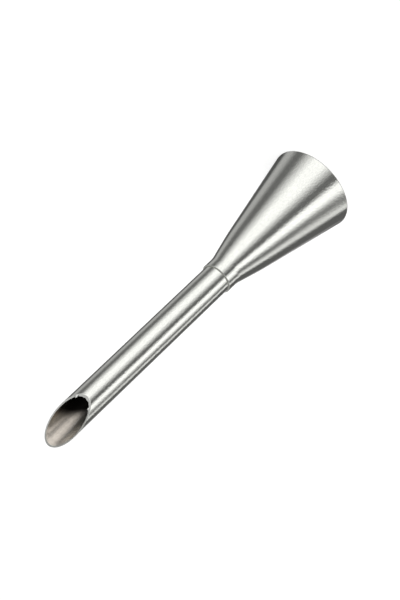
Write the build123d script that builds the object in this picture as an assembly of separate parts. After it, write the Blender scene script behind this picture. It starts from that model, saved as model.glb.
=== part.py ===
from build123d import *
import os
from math import cos, radians, sin, tan

# Filling piping tip, in millimetres.
# A cone of drawn sheet holds a thin tube in its neck, and the tube ends in a slant-cut point.
# +Z runs up the tube, and the origin is the centre of the rim that the tip stands on.

# Overall height, from the rim to the tube's point
overall_height = 95.0

# Tube
tube_diameter = 7.3
tube_wall = 0.35
slant_angle = 32.0  # degrees between the cut and the tube's axis
cut_edge_break = 0.1

# Cone
rim_diameter = 21.8
sheet_thickness = 0.35
shoulder_height = 26.0  # above it the cone narrows faster
shoulder_blend = 120.0
throat_angle = 13.5  # degrees between the upper cone's side and the axis
throat_blend = 8.0
rim_outer_round = 0.15
rim_inner_break = 0.05

# Neck, which holds the tube's root
collar_height = 37.0
seat_length = 2.4
seat_clearance = 0.0  # the tube is pressed in and touches the neck all round
lip_round = 0.2

# Sizes that follow
tube_radius = tube_diameter / 2
neck_radius = tube_radius + seat_clearance + sheet_thickness
root_height = collar_height - seat_length


def corners_at(section, end):
    """A section's corners at its bottom (0) or top (-1), from the inside to the outside."""
    return section.vertices().group_by(Axis.Y)[end].sort_by(Axis.X)


def cone_outline():
    """The cone's outer line in the XZ plane, from the collar's lip down past the rim."""
    neck = Line((neck_radius, collar_height), (neck_radius, root_height))
    throat = JernArc(neck @ 1, neck % 1, throat_blend, throat_angle)
    throat_end = throat @ 1
    drop = throat_end.Y - shoulder_height
    shoulder = Vector(throat_end.X + drop * tan(radians(throat_angle)), shoulder_height)
    rim = Vector(rim_diameter / 2, 0)
    past_rim = rim + (rim - shoulder).normalized() * sheet_thickness
    sides = FilletPolyline(throat_end, shoulder, past_rim, radius=shoulder_blend)
    return Wire([neck, throat, *sides.edges()])


def make_funnel_cone():
    """One sheet of even thickness, trimmed flat at the rim, deburred and revolved."""
    sheet = offset(cone_outline(), sheet_thickness, side=Side.RIGHT, closed=True)
    section = split(make_face(sheet.edges()), bisect_by=Plane.ZX, keep=Keep.TOP)
    section = fillet(corners_at(section, 0)[-1], rim_outer_round)
    section = chamfer(corners_at(section, 0)[0], rim_inner_break)
    section = fillet(corners_at(section, -1)[-1], lip_round)
    return revolve(Plane.XZ * section, Axis.Z)


def make_filling_tube():
    """A straight tube, cut square at its root and at a slant at its point."""
    section = Circle(tube_radius) - Circle(tube_radius - tube_wall)
    slant = radians(slant_angle)
    # The broken edge takes a little off the sharp point, so the cut starts that much higher
    sharp_height = overall_height + cut_edge_break * cos(slant)
    tube = extrude(Pos(0, 0, root_height) * section, sharp_height - root_height)
    cut = Plane(origin=(0, tube_radius, sharp_height), z_dir=(0, -cos(slant), sin(slant)))
    tube = split(tube, bisect_by=cut, keep=Keep.BOTTOM)
    return chamfer(tube.edges().filter_by(GeomType.ELLIPSE), cut_edge_break)


funnel_cone = make_funnel_cone()
filling_tube = make_filling_tube()

os.makedirs("parts", exist_ok=True)
export_step(funnel_cone, "parts/funnel_cone.step")
export_step(filling_tube, "parts/filling_tube.step")
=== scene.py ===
"""Filling piping tip in bright brushed steel, on a white table under soft studio light."""
from math import atan, cos, pi, radians, sin, tan

import bpy
import numpy as np
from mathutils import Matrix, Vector


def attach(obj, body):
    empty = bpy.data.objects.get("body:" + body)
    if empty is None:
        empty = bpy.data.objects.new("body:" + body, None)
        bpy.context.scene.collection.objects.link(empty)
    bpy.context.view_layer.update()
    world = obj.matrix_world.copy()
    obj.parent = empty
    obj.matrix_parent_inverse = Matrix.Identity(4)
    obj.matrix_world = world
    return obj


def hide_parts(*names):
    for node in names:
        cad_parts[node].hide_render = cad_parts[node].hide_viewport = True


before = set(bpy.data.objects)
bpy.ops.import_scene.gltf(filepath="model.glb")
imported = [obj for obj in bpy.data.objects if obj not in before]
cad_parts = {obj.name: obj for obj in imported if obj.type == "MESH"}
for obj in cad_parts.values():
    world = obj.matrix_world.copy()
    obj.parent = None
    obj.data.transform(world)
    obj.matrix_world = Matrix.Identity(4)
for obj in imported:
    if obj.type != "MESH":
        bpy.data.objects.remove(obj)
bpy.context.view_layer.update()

MM = 0.001

# The CAD's own sizes, in millimetres
OVERALL_HEIGHT = 95.0
TUBE_RADIUS = 3.65
TUBE_WALL = 0.35
SLANT = radians(32.0)  # between the cut and the tube's axis
RIM_RADIUS = 10.9
SHEET = 0.35
SHOULDER_HEIGHT = 26.0
SHOULDER_BLEND = 120.0
THROAT_ANGLE = radians(13.5)
THROAT_BLEND = 8.0
COLLAR_HEIGHT = 37.0
SEAT_LENGTH = 2.4
ROOT_HEIGHT = COLLAR_HEIGHT - SEAT_LENGTH
NECK_RADIUS = TUBE_RADIUS + SHEET
BORE_RADIUS = TUBE_RADIUS - TUBE_WALL

# Worn and deburred edges, in millimetres
RIM_OUTER_ROUND = 0.25
RIM_INNER_ROUND = 0.06
LIP_ROUND = 0.2
LIP_GROOVE = 0.06  # the fine groove where the lip meets the tube
CUT_ROUND = 0.1
CUT_INNER_SHARE = 0.5  # the inner edge's round across the cut, as a share of the outer edge's
CUT_INNER_DROP = 0.06  # the inner edge's round down the bore
POINT_THINNING = 0.1  # how much the wall is ground away inside, at the point
SHARP_HEIGHT = OVERALL_HEIGHT + 0.043  # the point's height before its edge was rounded

# Nicks and burrs that the saw left in the cut's inner edge: azimuth, half width in degrees, depth in mm
NICKS = ((296.5, 1.8, 0.12), (236.5, 2.4, 0.20), (247.0, 7.0, 0.06))
BURRS = ((302.5, 3.0, 0.18), (231.0, 2.6, 0.16))
BURR_RISE = 1.5  # how far a burr stands up, as a share of how far it reaches in
BURR_FOOT = 0.8  # the rise at a burr's foot, as a share of the rise at its tip
EDGE_LIMITS = (-0.16, 0.24)  # how far the inner edge may stand inside and outside the bore's circle
RAGGED_DEPTH = 0.006
# Depth below the cut in mm, and how much of the edge's shape is left there
EDGE_FADE = ((0.12, 0.85), (0.25, 0.5), (0.45, 0.15), (0.8, 0.0))

# Fineness of the meshes
AROUND = 240  # columns round the cone; the tube has twice as many
TUBE_WALL_ROWS = 40
TUBE_BORE_ROWS = 60
BORE_CROWDING = 1.6  # the bore's rows lie closer together towards the cut

# Camera fitted to the photograph, in millimetres, degrees and pixels
CAMERA_PLACE = (-107.4944, -372.9637, 273.1849)
CAMERA_ANGLES = (-49.4908, 38.4745, -167.9456)
FOCAL_PIXELS = 1967.69
PHOTO_HEIGHT = 600
SENSOR = 36.0


# Meshes

def arc(centre_r, centre_z, radius, start, end, count):
    """Points along an arc in the radius and height plane."""
    angles = np.linspace(start, end, count)
    return [(centre_r + radius * cos(a), centre_z + radius * sin(a)) for a in angles]


def run(start, end, count):
    """Points inside a straight run, without its two ends."""
    steps = np.linspace(0, 1, count + 2)[1:-1]
    return [(start[0] + (end[0] - start[0]) * t, start[1] + (end[1] - start[1]) * t) for t in steps]


def cone_section():
    """The cone's closed section, down the outside and back up the inside, and the metal of each point."""
    throat_r = NECK_RADIUS + THROAT_BLEND
    throat_end_r = throat_r - THROAT_BLEND * cos(THROAT_ANGLE)
    throat_end_z = ROOT_HEIGHT - THROAT_BLEND * sin(THROAT_ANGLE)
    shoulder_r = throat_end_r + (throat_end_z - SHOULDER_HEIGHT) * tan(THROAT_ANGLE)
    lower = atan((RIM_RADIUS - shoulder_r) / SHOULDER_HEIGHT)
    reach = SHOULDER_BLEND * tan((THROAT_ANGLE - lower) / 2)
    blend_r = shoulder_r - reach * sin(THROAT_ANGLE) - SHOULDER_BLEND * cos(THROAT_ANGLE)
    blend_z = SHOULDER_HEIGHT + reach * cos(THROAT_ANGLE) - SHOULDER_BLEND * sin(THROAT_ANGLE)

    def side(depth, bend_points, wall_points):
        """The throat, the upper cone and the shoulder's bend, at a depth under the outside."""
        throat = arc(throat_r, ROOT_HEIGHT, THROAT_BLEND + depth, pi, pi + THROAT_ANGLE, bend_points)
        blend = arc(blend_r, blend_z, SHOULDER_BLEND - depth, THROAT_ANGLE, lower, bend_points)
        return throat + run(throat[-1], blend[0], wall_points) + blend

    def rim_round(depth, radius, start, end, count):
        """A rounded edge of the rim, whose side lies at a depth under the outside."""
        centre = RIM_RADIUS - (depth + radius * sin(lower)) / cos(lower)
        return arc(centre, radius, radius, start, end, count)

    outside = side(0.0, bend_points=14, wall_points=8)
    inside = side(SHEET, bend_points=10, wall_points=6)
    rim_out = rim_round(RIM_OUTER_ROUND, RIM_OUTER_ROUND, lower, -pi / 2, count=9)
    rim_in = rim_round(SHEET - RIM_INNER_ROUND, RIM_INNER_ROUND, -pi / 2, lower - pi, count=6)
    lip_out = arc(NECK_RADIUS - LIP_ROUND, COLLAR_HEIGHT - LIP_ROUND, LIP_ROUND, pi / 2, 0, count=8)
    lip_in = arc(TUBE_RADIUS + LIP_GROOVE, COLLAR_HEIGHT - LIP_GROOVE, LIP_GROOVE, pi, pi / 2, count=5)
    down = lip_out + run(lip_out[-1], outside[0], 5) + outside
    down += run(outside[-1], rim_out[0], 30) + rim_out + run(rim_out[-1], rim_in[0], 1)
    back = rim_in + run(rim_in[-1], inside[-1], 20) + inside[::-1] + run(inside[0], lip_in[0], 3)
    metals = [0] * len(down) + [1] * len(back) + [0] * len(lip_in)
    return np.array(down + back + lip_in), np.array(metals)


def revolved(section):
    """A grid of points with a row for each point of a section."""
    angles = np.linspace(0, 2 * pi, AROUND, endpoint=False)
    r, z = section[:, 0][:, None], section[:, 1][:, None]
    return np.stack([r * np.cos(angles), r * np.sin(angles), z + 0 * angles], 2)


def cut_point(radius, angles):
    """A point of the slanted plane over each azimuth."""
    height = SHARP_HEIGHT + (radius * np.sin(angles) - TUBE_RADIUS) / tan(SLANT)
    return np.stack([radius * np.cos(angles), radius * np.sin(angles), height], 1)


def bend(start, corner, end, count):
    """Rows of a rounded edge, between two rows that lie beside a sharp corner."""
    steps = np.linspace(0, 1, count)
    return [(1 - t) ** 2 * start + 2 * t * (1 - t) * corner + t * t * end for t in steps]


def spots(angles, places):
    """A smooth hill round each place: azimuth, half width in degrees, height in mm."""
    height = np.zeros_like(angles)
    for place, width, amount in places:
        away = (np.degrees(angles) - place + 180) % 360 - 180
        height += amount * np.exp(-(away / width) ** 2)
    return height


def ragged(angles):
    """How far the cut's inner edge stands outside its circle, in mm: most at the heel."""
    rng = np.random.default_rng(7)
    depth = np.zeros_like(angles)
    for turns in range(3, 40, 2):
        depth += RAGGED_DEPTH * np.sin(turns * angles + rng.uniform(0, 2 * pi)) * rng.uniform(0.3, 1)
    heel = 0.35 + 0.65 * (0.5 - 0.5 * np.sin(angles))
    return depth * heel


def cut_rows(angles):
    """Rows over the cut, from its outer edge across its face to its inner edge and into the bore."""
    up = np.array([0.0, 0.0, 1.0])
    slope = np.sqrt(1 + (np.sin(angles) / tan(SLANT)) ** 2)
    inward = CUT_ROUND / slope
    burrs = spots(angles, BURRS)
    thinned = POINT_THINNING * (0.5 + 0.5 * np.sin(angles)) ** 2
    edge = ragged(angles) + spots(angles, NICKS) - burrs + thinned
    inner_edge = BORE_RADIUS + np.clip(edge, *EDGE_LIMITS)
    rise = BURR_RISE * burrs[:, None] * np.array([0.0, -cos(SLANT), sin(SLANT)])

    outer_corner = cut_point(TUBE_RADIUS, angles)
    outer_face = cut_point(TUBE_RADIUS - inward, angles)
    inner_face = cut_point(inner_edge + CUT_INNER_SHARE * inward, angles) + BURR_FOOT * rise
    inner_corner = cut_point(inner_edge, angles) + rise
    outer_bend = bend(outer_corner - CUT_ROUND * up, outer_corner, outer_face, 6)
    face = [outer_face + (inner_face - outer_face) * t for t in (0.33, 0.67)]
    inner_bend = bend(inner_face, inner_corner, inner_corner - CUT_INNER_DROP * up, 5)
    fading = []
    for drop, share in EDGE_FADE:
        radius = BORE_RADIUS + (inner_edge - BORE_RADIUS) * share
        height = cut_point(BORE_RADIUS, angles)[:, 2] - drop
        fading.append(np.stack([radius * np.cos(angles), radius * np.sin(angles), height], 1))
    return outer_bend, face, inner_bend, fading


def tube_grid():
    """The tube's closed grid, up the outside, over the cut and down the bore, and the metal of each row."""
    # The columns run clockwise, so that the faces between rows that start up the outside look outwards
    angles = -np.linspace(0, 2 * pi, AROUND * 2, endpoint=False)
    root = np.stack([np.cos(angles), np.sin(angles), 0 * angles], 1)
    up = np.array([0.0, 0.0, 1.0])
    outer_bend, face, inner_bend, fading = cut_rows(angles)

    outer_root = root * TUBE_RADIUS + ROOT_HEIGHT * up
    high, higher = outer_bend[0] - 0.4 * up, outer_bend[0] - 0.12 * up
    wall = [outer_root + (high - outer_root) * t for t in np.linspace(0, 1, TUBE_WALL_ROWS)[:-1]]
    wall += [high, higher]
    inner_root = root * BORE_RADIUS + ROOT_HEIGHT * up
    steps = np.linspace(0, 1, TUBE_BORE_ROWS)[1:] ** BORE_CROWDING
    bore = [fading[-1] + (inner_root - fading[-1]) * t for t in steps]

    # The cut's metal starts two rows into the outer bend and ends three rows into the inner one
    rows = wall + outer_bend + face + inner_bend + fading + bore
    cut_start = len(wall) + 2
    bore_start = len(wall + outer_bend + face) + 3
    metals = [0] * cut_start + [1] * (bore_start - cut_start) + [2] * (len(rows) - bore_start)
    return np.stack(rows, 0), np.array(metals)


def unit(vectors):
    """Vectors of the same directions with a length of 1."""
    return vectors / np.linalg.norm(vectors, axis=-1, keepdims=True)


def lathe_mesh(name, grid, metal_of_row, materials):
    """A watertight mesh of a grid that closes on itself both ways."""
    rows, columns = grid.shape[:2]
    i, j = np.meshgrid(np.arange(rows), np.arange(columns), indexing="ij")
    down, along = (i + 1) % rows, (j + 1) % columns
    quads = np.stack([i * columns + j, down * columns + j, down * columns + along, i * columns + along], 2)
    mesh = bpy.data.meshes.new(name)
    mesh.from_pydata((grid.reshape(-1, 3) * MM).tolist(), [], quads.reshape(-1, 4).tolist())
    for material in materials:
        mesh.materials.append(material)
    mesh.polygons.foreach_set("material_index", np.repeat(metal_of_row, columns).astype(np.int32))
    mesh.polygons.foreach_set("use_smooth", np.ones(rows * columns, bool))
    across = np.roll(grid, -1, 0) - np.roll(grid, 1, 0)
    around = np.roll(grid, -1, 1) - np.roll(grid, 1, 1)
    normals = unit(np.cross(across, around))
    mesh.update()
    mesh.normals_split_custom_set_from_vertices(normals.reshape(-1, 3).tolist())
    obj = bpy.data.objects.new(name, mesh)
    bpy.context.scene.collection.objects.link(obj)
    return obj


# Materials

def node_tree(name):
    """A new material with an empty node tree."""
    material = bpy.data.materials.new(name)
    material.use_nodes = True
    tree = material.node_tree
    tree.nodes.clear()
    return material, tree


def add(tree, kind, **values):
    """A node with its properties and the defaults of its named inputs set."""
    node = tree.nodes.new(kind)
    for key, value in values.items():
        if key.startswith("in_"):
            node.inputs[key[3:].replace("_", " ")].default_value = value
        else:
            setattr(node, key, value)
    return node


def show(tree, surface):
    """Make a shader the material's surface."""
    output = add(tree, "ShaderNodeOutputMaterial")
    tree.links.new(surface, output.inputs["Surface"])


def stretched_noise(tree, scale, detail, stretch, roughness=0.55):
    """Noise in object space, stretched by a factor along each axis."""
    place = add(tree, "ShaderNodeTexCoord")
    mapping = add(tree, "ShaderNodeMapping")
    mapping.inputs["Scale"].default_value = stretch
    noise = add(tree, "ShaderNodeTexNoise", in_Scale=scale, in_Detail=detail, in_Roughness=roughness)
    tree.links.new(place.outputs["Object"], mapping.inputs["Vector"])
    tree.links.new(mapping.outputs["Vector"], noise.inputs["Vector"])
    return noise.outputs["Fac"]


def ranged(tree, value, low, high, start=0.3, end=0.7):
    """A noise value spread over a range."""
    node = add(tree, "ShaderNodeMapRange", in_From_Min=start, in_From_Max=end, in_To_Min=low, in_To_Max=high)
    tree.links.new(value, node.inputs["Value"])
    return node.outputs["Result"]


def blend_colour(tree, value, dark, light):
    """A colour between two others, by a value from 0 to 1."""
    node = add(tree, "ShaderNodeMix", data_type="RGBA")
    node.inputs["A"].default_value = (*dark, 1)
    node.inputs["B"].default_value = (*light, 1)
    tree.links.new(value, node.inputs["Factor"])
    return node.outputs["Result"]


def multiplied(tree, colour, factor):
    """A colour times another."""
    node = add(tree, "ShaderNodeMix", data_type="RGBA", blend_type="MULTIPLY")
    node.inputs["Factor"].default_value = 1.0
    tree.links.new(colour, node.inputs["A"])
    tree.links.new(factor, node.inputs["B"])
    return node.outputs["Result"]


def by_height(tree, low, high, lean):
    """A factor that goes from 0 to 1 between two heights of the part, in mm, leaning along X."""
    place = add(tree, "ShaderNodeTexCoord")
    split = add(tree, "ShaderNodeSeparateXYZ")
    tree.links.new(place.outputs["Object"], split.inputs["Vector"])
    height = add(tree, "ShaderNodeMath", operation="MULTIPLY_ADD")
    height.inputs[1].default_value = lean
    tree.links.new(split.outputs["X"], height.inputs[0])
    tree.links.new(split.outputs["Z"], height.inputs[2])
    node = add(tree, "ShaderNodeMapRange", interpolation_type="SMOOTHSTEP", in_From_Min=low * MM,
               in_From_Max=high * MM)
    tree.links.new(height.outputs["Value"], node.inputs["Value"])
    return node.outputs["Result"]


def bumped(tree, height, depth, strength, normal=None):
    """A surface normal tilted by a height in metres, on top of an earlier bump."""
    node = add(tree, "ShaderNodeBump", in_Strength=strength, in_Distance=depth)
    tree.links.new(height, node.inputs["Height"])
    if normal:
        tree.links.new(normal, node.inputs["Normal"])
    return node.outputs["Normal"]


ROUND_LINES = (0.12, 0.12, 4.0)  # brush lines that run round the axis
LONG_LINES = (4.0, 4.0, 0.12)  # drawing lines that run along it
CUT_LINES = (3.0, 1.0, 1.0)
GRAIN_SCALE = 2600.0
TONE_SCALE = 260.0
WAVE_SCALE = 110.0
LINE_DEPTH = 0.00002
GRAIN_DEPTH = 0.000004
WAVE_DEPTH = 0.00004


def brushed_steel(name, dark, light, rough, lines, line_scale, line_bump, grain=1.0, shades=(), reamed=0.0):
    """Steel with fine brush lines and grain, a slow change of tone and a faintly uneven surface."""
    material, tree = node_tree(name)
    shader = add(tree, "ShaderNodeBsdfPrincipled", in_Metallic=1.0)
    show(tree, shader.outputs["BSDF"])
    brush = stretched_noise(tree, line_scale, 3.0, lines, 0.6)
    speck = stretched_noise(tree, GRAIN_SCALE, 2.0, (1, 1, 0.7), 0.6)
    tone = stretched_noise(tree, TONE_SCALE, 2.0, (1, 1, 0.35))
    wave = stretched_noise(tree, WAVE_SCALE, 1.0, (1, 1, 0.4))

    mixed = add(tree, "ShaderNodeMath", operation="ADD", use_clamp=True)
    tree.links.new(ranged(tree, speck, 0.0, 0.7), mixed.inputs[0])
    tree.links.new(ranged(tree, tone, 0.0, 0.3), mixed.inputs[1])
    colour = blend_colour(tree, mixed.outputs["Value"], dark, light)
    # Painted shade, and a warmer tone, multiply the base colour between two heights
    for low, high, start, end, lean in shades:
        place = by_height(tree, low, high, lean)
        colour = multiplied(tree, colour, blend_colour(tree, place, start, end))
    tree.links.new(colour, shader.inputs["Base Color"])

    tree.links.new(ranged(tree, brush, *rough), shader.inputs["Roughness"])
    if reamed:
        # A reamer's marks run round the axis, so reflections are drawn out along it
        shader.inputs["Anisotropic"].default_value = reamed
        shader.inputs["Anisotropic Rotation"].default_value = 0.25
        turning = add(tree, "ShaderNodeTangent", direction_type="RADIAL", axis="Z")
        tree.links.new(turning.outputs["Tangent"], shader.inputs["Tangent"])

    normal = bumped(tree, brush, LINE_DEPTH, line_bump)
    normal = bumped(tree, speck, GRAIN_DEPTH * grain, 1.0, normal)
    normal = bumped(tree, wave, WAVE_DEPTH, 0.5, normal)
    tree.links.new(normal, shader.inputs["Normal"])
    return material


def drawn_steel(name):
    """The bright outside of the cone and the tube."""
    return brushed_steel(name, (0.68, 0.685, 0.65), (0.78, 0.785, 0.745), (0.09, 0.15), ROUND_LINES, 1500.0,
                         0.25, grain=6.0)


# Painted shade, and one warmer tone, between two heights in mm: from one colour to another, and the lean
# along X
# Painted shade: the cut face darker towards the point, more so on its -X side
CUT_POINT_PAINTED_SHADE = (84.5, 93.0, (1.0, 1.0, 1.0), (0.72, 0.72, 0.71), -1.4)
# Painted shade: the bore turns nearly black deep down, below about the height of the cut's heel
BORE_DEPTH_PAINTED_SHADE = (82.0, 85.8, (0.02, 0.02, 0.02), (1.0, 1.0, 1.0), -1.5)
# Painted shade: the bore's wall darker and browner on its +X side, fading out upwards
BORE_SIDE_PAINTED_SHADE = (63.0, 82.0, (0.50, 0.48, 0.46), (1.0, 1.0, 1.0), -10.0)
# The bore's colour turns warmer higher up and on its +X side
BORE_WARM_TONE = (64.0, 86.0, (0.98, 1.0, 1.0), (0.98, 0.905, 0.83), 10.0)

cone_outer = drawn_steel("cone_outer_steel")
cone_inner = brushed_steel("cone_inner_steel", (0.50, 0.505, 0.48), (0.70, 0.70, 0.67), (0.28, 0.42),
                           ROUND_LINES, 1200.0, 0.4)
tube_outer = drawn_steel("tube_outer_steel")
cut_steel = brushed_steel("cut_steel", (0.74, 0.745, 0.715), (0.90, 0.905, 0.87), (0.3, 0.45),
                          CUT_LINES, 2500.0, 0.6, shades=(CUT_POINT_PAINTED_SHADE,))
bore_steel = brushed_steel("bore_steel", (0.79, 0.785, 0.76), (0.95, 0.945, 0.92), (0.42, 0.50),
                           LONG_LINES, 500.0, 0.3, grain=6.0, shades=(BORE_DEPTH_PAINTED_SHADE, BORE_SIDE_PAINTED_SHADE, BORE_WARM_TONE),
                           reamed=0.95)


# Pieces

cone_points, cone_metals = cone_section()
cone = lathe_mesh("funnel_cone_body", revolved(cone_points), cone_metals, [cone_outer, cone_inner])
tube_points, tube_metals = tube_grid()
tube = lathe_mesh("filling_tube_body", tube_points, tube_metals, [tube_outer, cut_steel, bore_steel])

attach(cone, "root")
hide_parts("funnel_cone")
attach(tube, "root")
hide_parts("filling_tube")


# Background and table

def seen_directly(tree):
    """1 for camera, mirror and see-through rays, which are shown the white background."""
    path = add(tree, "ShaderNodeLightPath")
    total = path.outputs["Is Camera Ray"]
    for ray in ("Is Glossy Ray", "Is Transmission Ray"):
        either = add(tree, "ShaderNodeMath", operation="MAXIMUM")
        tree.links.new(total, either.inputs[0])
        tree.links.new(path.outputs[ray], either.inputs[1])
        total = either.outputs["Value"]
    return total


def white_world():
    """A white background that lights the object a little less than it shows."""
    world = bpy.data.worlds.new("white_studio")
    bpy.context.scene.world = world
    world.use_nodes = True
    tree = world.node_tree
    tree.nodes.clear()
    level = add(tree, "ShaderNodeMapRange", in_To_Min=0.6, in_To_Max=1.0)
    tree.links.new(seen_directly(tree), level.inputs["Value"])
    background = add(tree, "ShaderNodeBackground", in_Color=(1, 1, 1, 1))
    tree.links.new(level.outputs["Result"], background.inputs["Strength"])
    output = add(tree, "ShaderNodeOutputWorld")
    tree.links.new(background.outputs["Background"], output.inputs["Surface"])


def table_paper():
    """White paper that keeps shadows, with a glow that only direct sight of it shows."""
    material, tree = node_tree("white_table")
    # Far from the lamp the table glows a little more, so that it stays as white as the background
    place = add(tree, "ShaderNodeTexCoord")
    distance = add(tree, "ShaderNodeVectorMath", operation="LENGTH")
    tree.links.new(place.outputs["Object"], distance.inputs[0])
    lift = ranged(tree, distance.outputs["Value"], 0.4, 0.53, start=0.3, end=1.2)
    glow = add(tree, "ShaderNodeMapRange", in_To_Min=0.0)
    tree.links.new(seen_directly(tree), glow.inputs["Value"])
    tree.links.new(lift, glow.inputs["To Max"])
    emission = add(tree, "ShaderNodeEmission", in_Color=(1, 1, 1, 1))
    tree.links.new(glow.outputs["Result"], emission.inputs["Strength"])
    paper = add(tree, "ShaderNodeBsdfDiffuse", in_Color=(0.8, 0.8, 0.8, 1))
    both = add(tree, "ShaderNodeAddShader")
    tree.links.new(emission.outputs["Emission"], both.inputs[0])
    tree.links.new(paper.outputs["BSDF"], both.inputs[1])
    show(tree, both.outputs["Shader"])
    return material


white_world()
bpy.ops.mesh.primitive_circle_add(vertices=96, radius=3.0, fill_type="NGON", location=(0, 0, 0))
table = bpy.context.object
table.name = "white_table"
table.data.materials.append(table_paper())
table.visible_glossy = False


# Surround that only the metal's reflections see

# Cards round the object: azimuth from and to in degrees, brightness low down, in the middle and high up,
# and how far the upper end leans. One shades into the next.
CARDS = (
    (3, 20, 0.50, 0.50, 0.50, 0),  # grey card
    (31, 46, 0.05, 0.10, 0.10, 0),  # dark flag
    (74, 88, 0.05, 0.85, 0.85, 0),  # white sweep behind the object
    (110, 144, 0.05, 0.13, 0.13, 8),  # dark flag
    (149, 156, 1.00, 1.00, 1.00, 9),  # narrow strip light
    (165, 174, 0.20, 0.20, 0.20, 13),  # grey card
    (195, 210, 1.42, 1.42, 1.42, 8),  # strip light
    (224, 238, 0.17, 0.17, 0.17, 4),  # dark flag
    (270, 296, 1.35, 1.35, 1.90, 0),  # wide softbox, brightest at its top
    (332, 348, 0.18, 0.18, 0.18, 0),  # dark flag
)
# Radius and height in metres, and the shares of the low brightness, of the high one and of the lean
CARD_LEVELS = (
    (0.45, -0.50, 1, 0, 0),
    (0.60, -0.37, 1, 0, 0),
    (0.60, -0.33, 0, 0, 0),
    (0.60, -0.24, 0, 0, 0),
    (0.60, -0.17, 0, 0, 1),
    (0.60, -0.04, 0, 0, 1.5),
    (0.60, 0.20, 0, 1, 1.5),
)
CARD_STEP = 2  # degrees between the columns of the ring of cards
# Radius, height and brightness of the floor below the object and of the ceiling
FLOOR_RINGS = (
    (0.001, -0.52, 0.95),
    (0.12, -0.515, 0.80),
    (0.26, -0.51, 0.30),
    (0.46, -0.50, 0.05),
)
CEILING_RINGS = (
    (0.60, 0.20, 0.42),
    (0.45, 0.60, 0.42),
    (0.001, 0.80, 0.42),
)


def only_reflected(name, points, faces, tones):
    """A glowing mesh that only reflections see, with a brightness at each point."""
    mesh = bpy.data.meshes.new(name)
    mesh.from_pydata(points, [], faces)
    glow = mesh.attributes.new("glow", "FLOAT", "POINT")
    glow.data.foreach_set("value", tones)
    material, tree = node_tree(name)
    level = add(tree, "ShaderNodeAttribute", attribute_name="glow")
    emission = add(tree, "ShaderNodeEmission", in_Color=(1, 1, 1, 1))
    tree.links.new(level.outputs["Fac"], emission.inputs["Strength"])
    show(tree, emission.outputs["Emission"])
    mesh.materials.append(material)
    obj = bpy.data.objects.new(name, mesh)
    bpy.context.scene.collection.objects.link(obj)
    obj.visible_camera = False
    obj.visible_diffuse = False
    obj.visible_shadow = False
    obj.visible_transmission = False


def ring_faces(rings, columns):
    """Faces between rings of points."""
    return [(k * columns + j, k * columns + (j + 1) % columns, (k + 1) * columns + (j + 1) % columns,
             (k + 1) * columns + j) for k in range(rings - 1) for j in range(columns)]


def card_surround():
    """The ring of cards, with a column of the mesh every few degrees."""
    points, tones = [], []
    for radius, height, low_share, high_share, lean_share in CARD_LEVELS:
        places, values = [], []
        for start, end, low, middle, high, lean in CARDS:
            tone = middle + (low - middle) * low_share + (high - middle) * high_share
            places += [start + lean * lean_share, end + lean * lean_share]
            values += [tone, tone]
        # The last card is repeated before the first, and the first after the last, to close the ring
        places = [places[-1] - 360] + places + [places[0] + 360]
        values = [values[-1]] + values + [values[0]]
        for azimuth in range(0, 360, CARD_STEP):
            turn = radians(azimuth)
            points.append((radius * cos(turn), radius * sin(turn), height))
            tones.append(float(np.interp(azimuth, places, values)))
    only_reflected("card_ring", points, ring_faces(len(CARD_LEVELS), 360 // CARD_STEP), tones)


def round_card(name, rings, columns=60):
    """A round card that shades from ring to ring."""
    turns = np.linspace(0, 2 * pi, columns, endpoint=False)
    points = [(radius * cos(turn), radius * sin(turn), height)
              for radius, height, _ in rings for turn in turns]
    tones = [tone for _, _, tone in rings for _ in turns]
    only_reflected(name, points, ring_faces(len(rings), columns), tones)


card_surround()
round_card("floor_card", FLOOR_RINGS)
round_card("ceiling_card", CEILING_RINGS)


# Lamp and camera

def softbox(name, place, target, size, watts):
    """A square area light that faces a point, in metres."""
    lamp = bpy.data.lights.new(name, "AREA")
    lamp.shape = "SQUARE"
    lamp.size = size
    lamp.energy = watts
    obj = bpy.data.objects.new(name, lamp)
    obj.location = place
    obj.rotation_euler = (Vector(target) - Vector(place)).to_track_quat("-Z", "Y").to_euler()
    bpy.context.scene.collection.objects.link(obj)


softbox("top_softbox", place=(-0.25, -0.2, 0.9), target=(0, 0, 0.03), size=0.6, watts=4.0)

camera_data = bpy.data.cameras.new("camera")
camera = bpy.data.objects.new("camera", camera_data)
camera.location = [x * MM for x in CAMERA_PLACE]
camera.rotation_euler = [radians(x) for x in CAMERA_ANGLES]
camera_data.sensor_width = SENSOR
camera_data.lens = FOCAL_PIXELS * SENSOR / PHOTO_HEIGHT
camera_data.clip_start = 0.01
camera_data.clip_end = 20.0
bpy.context.scene.collection.objects.link(camera)
bpy.context.scene.camera = camera

view = bpy.context.scene.view_settings
view.view_transform = "Standard"
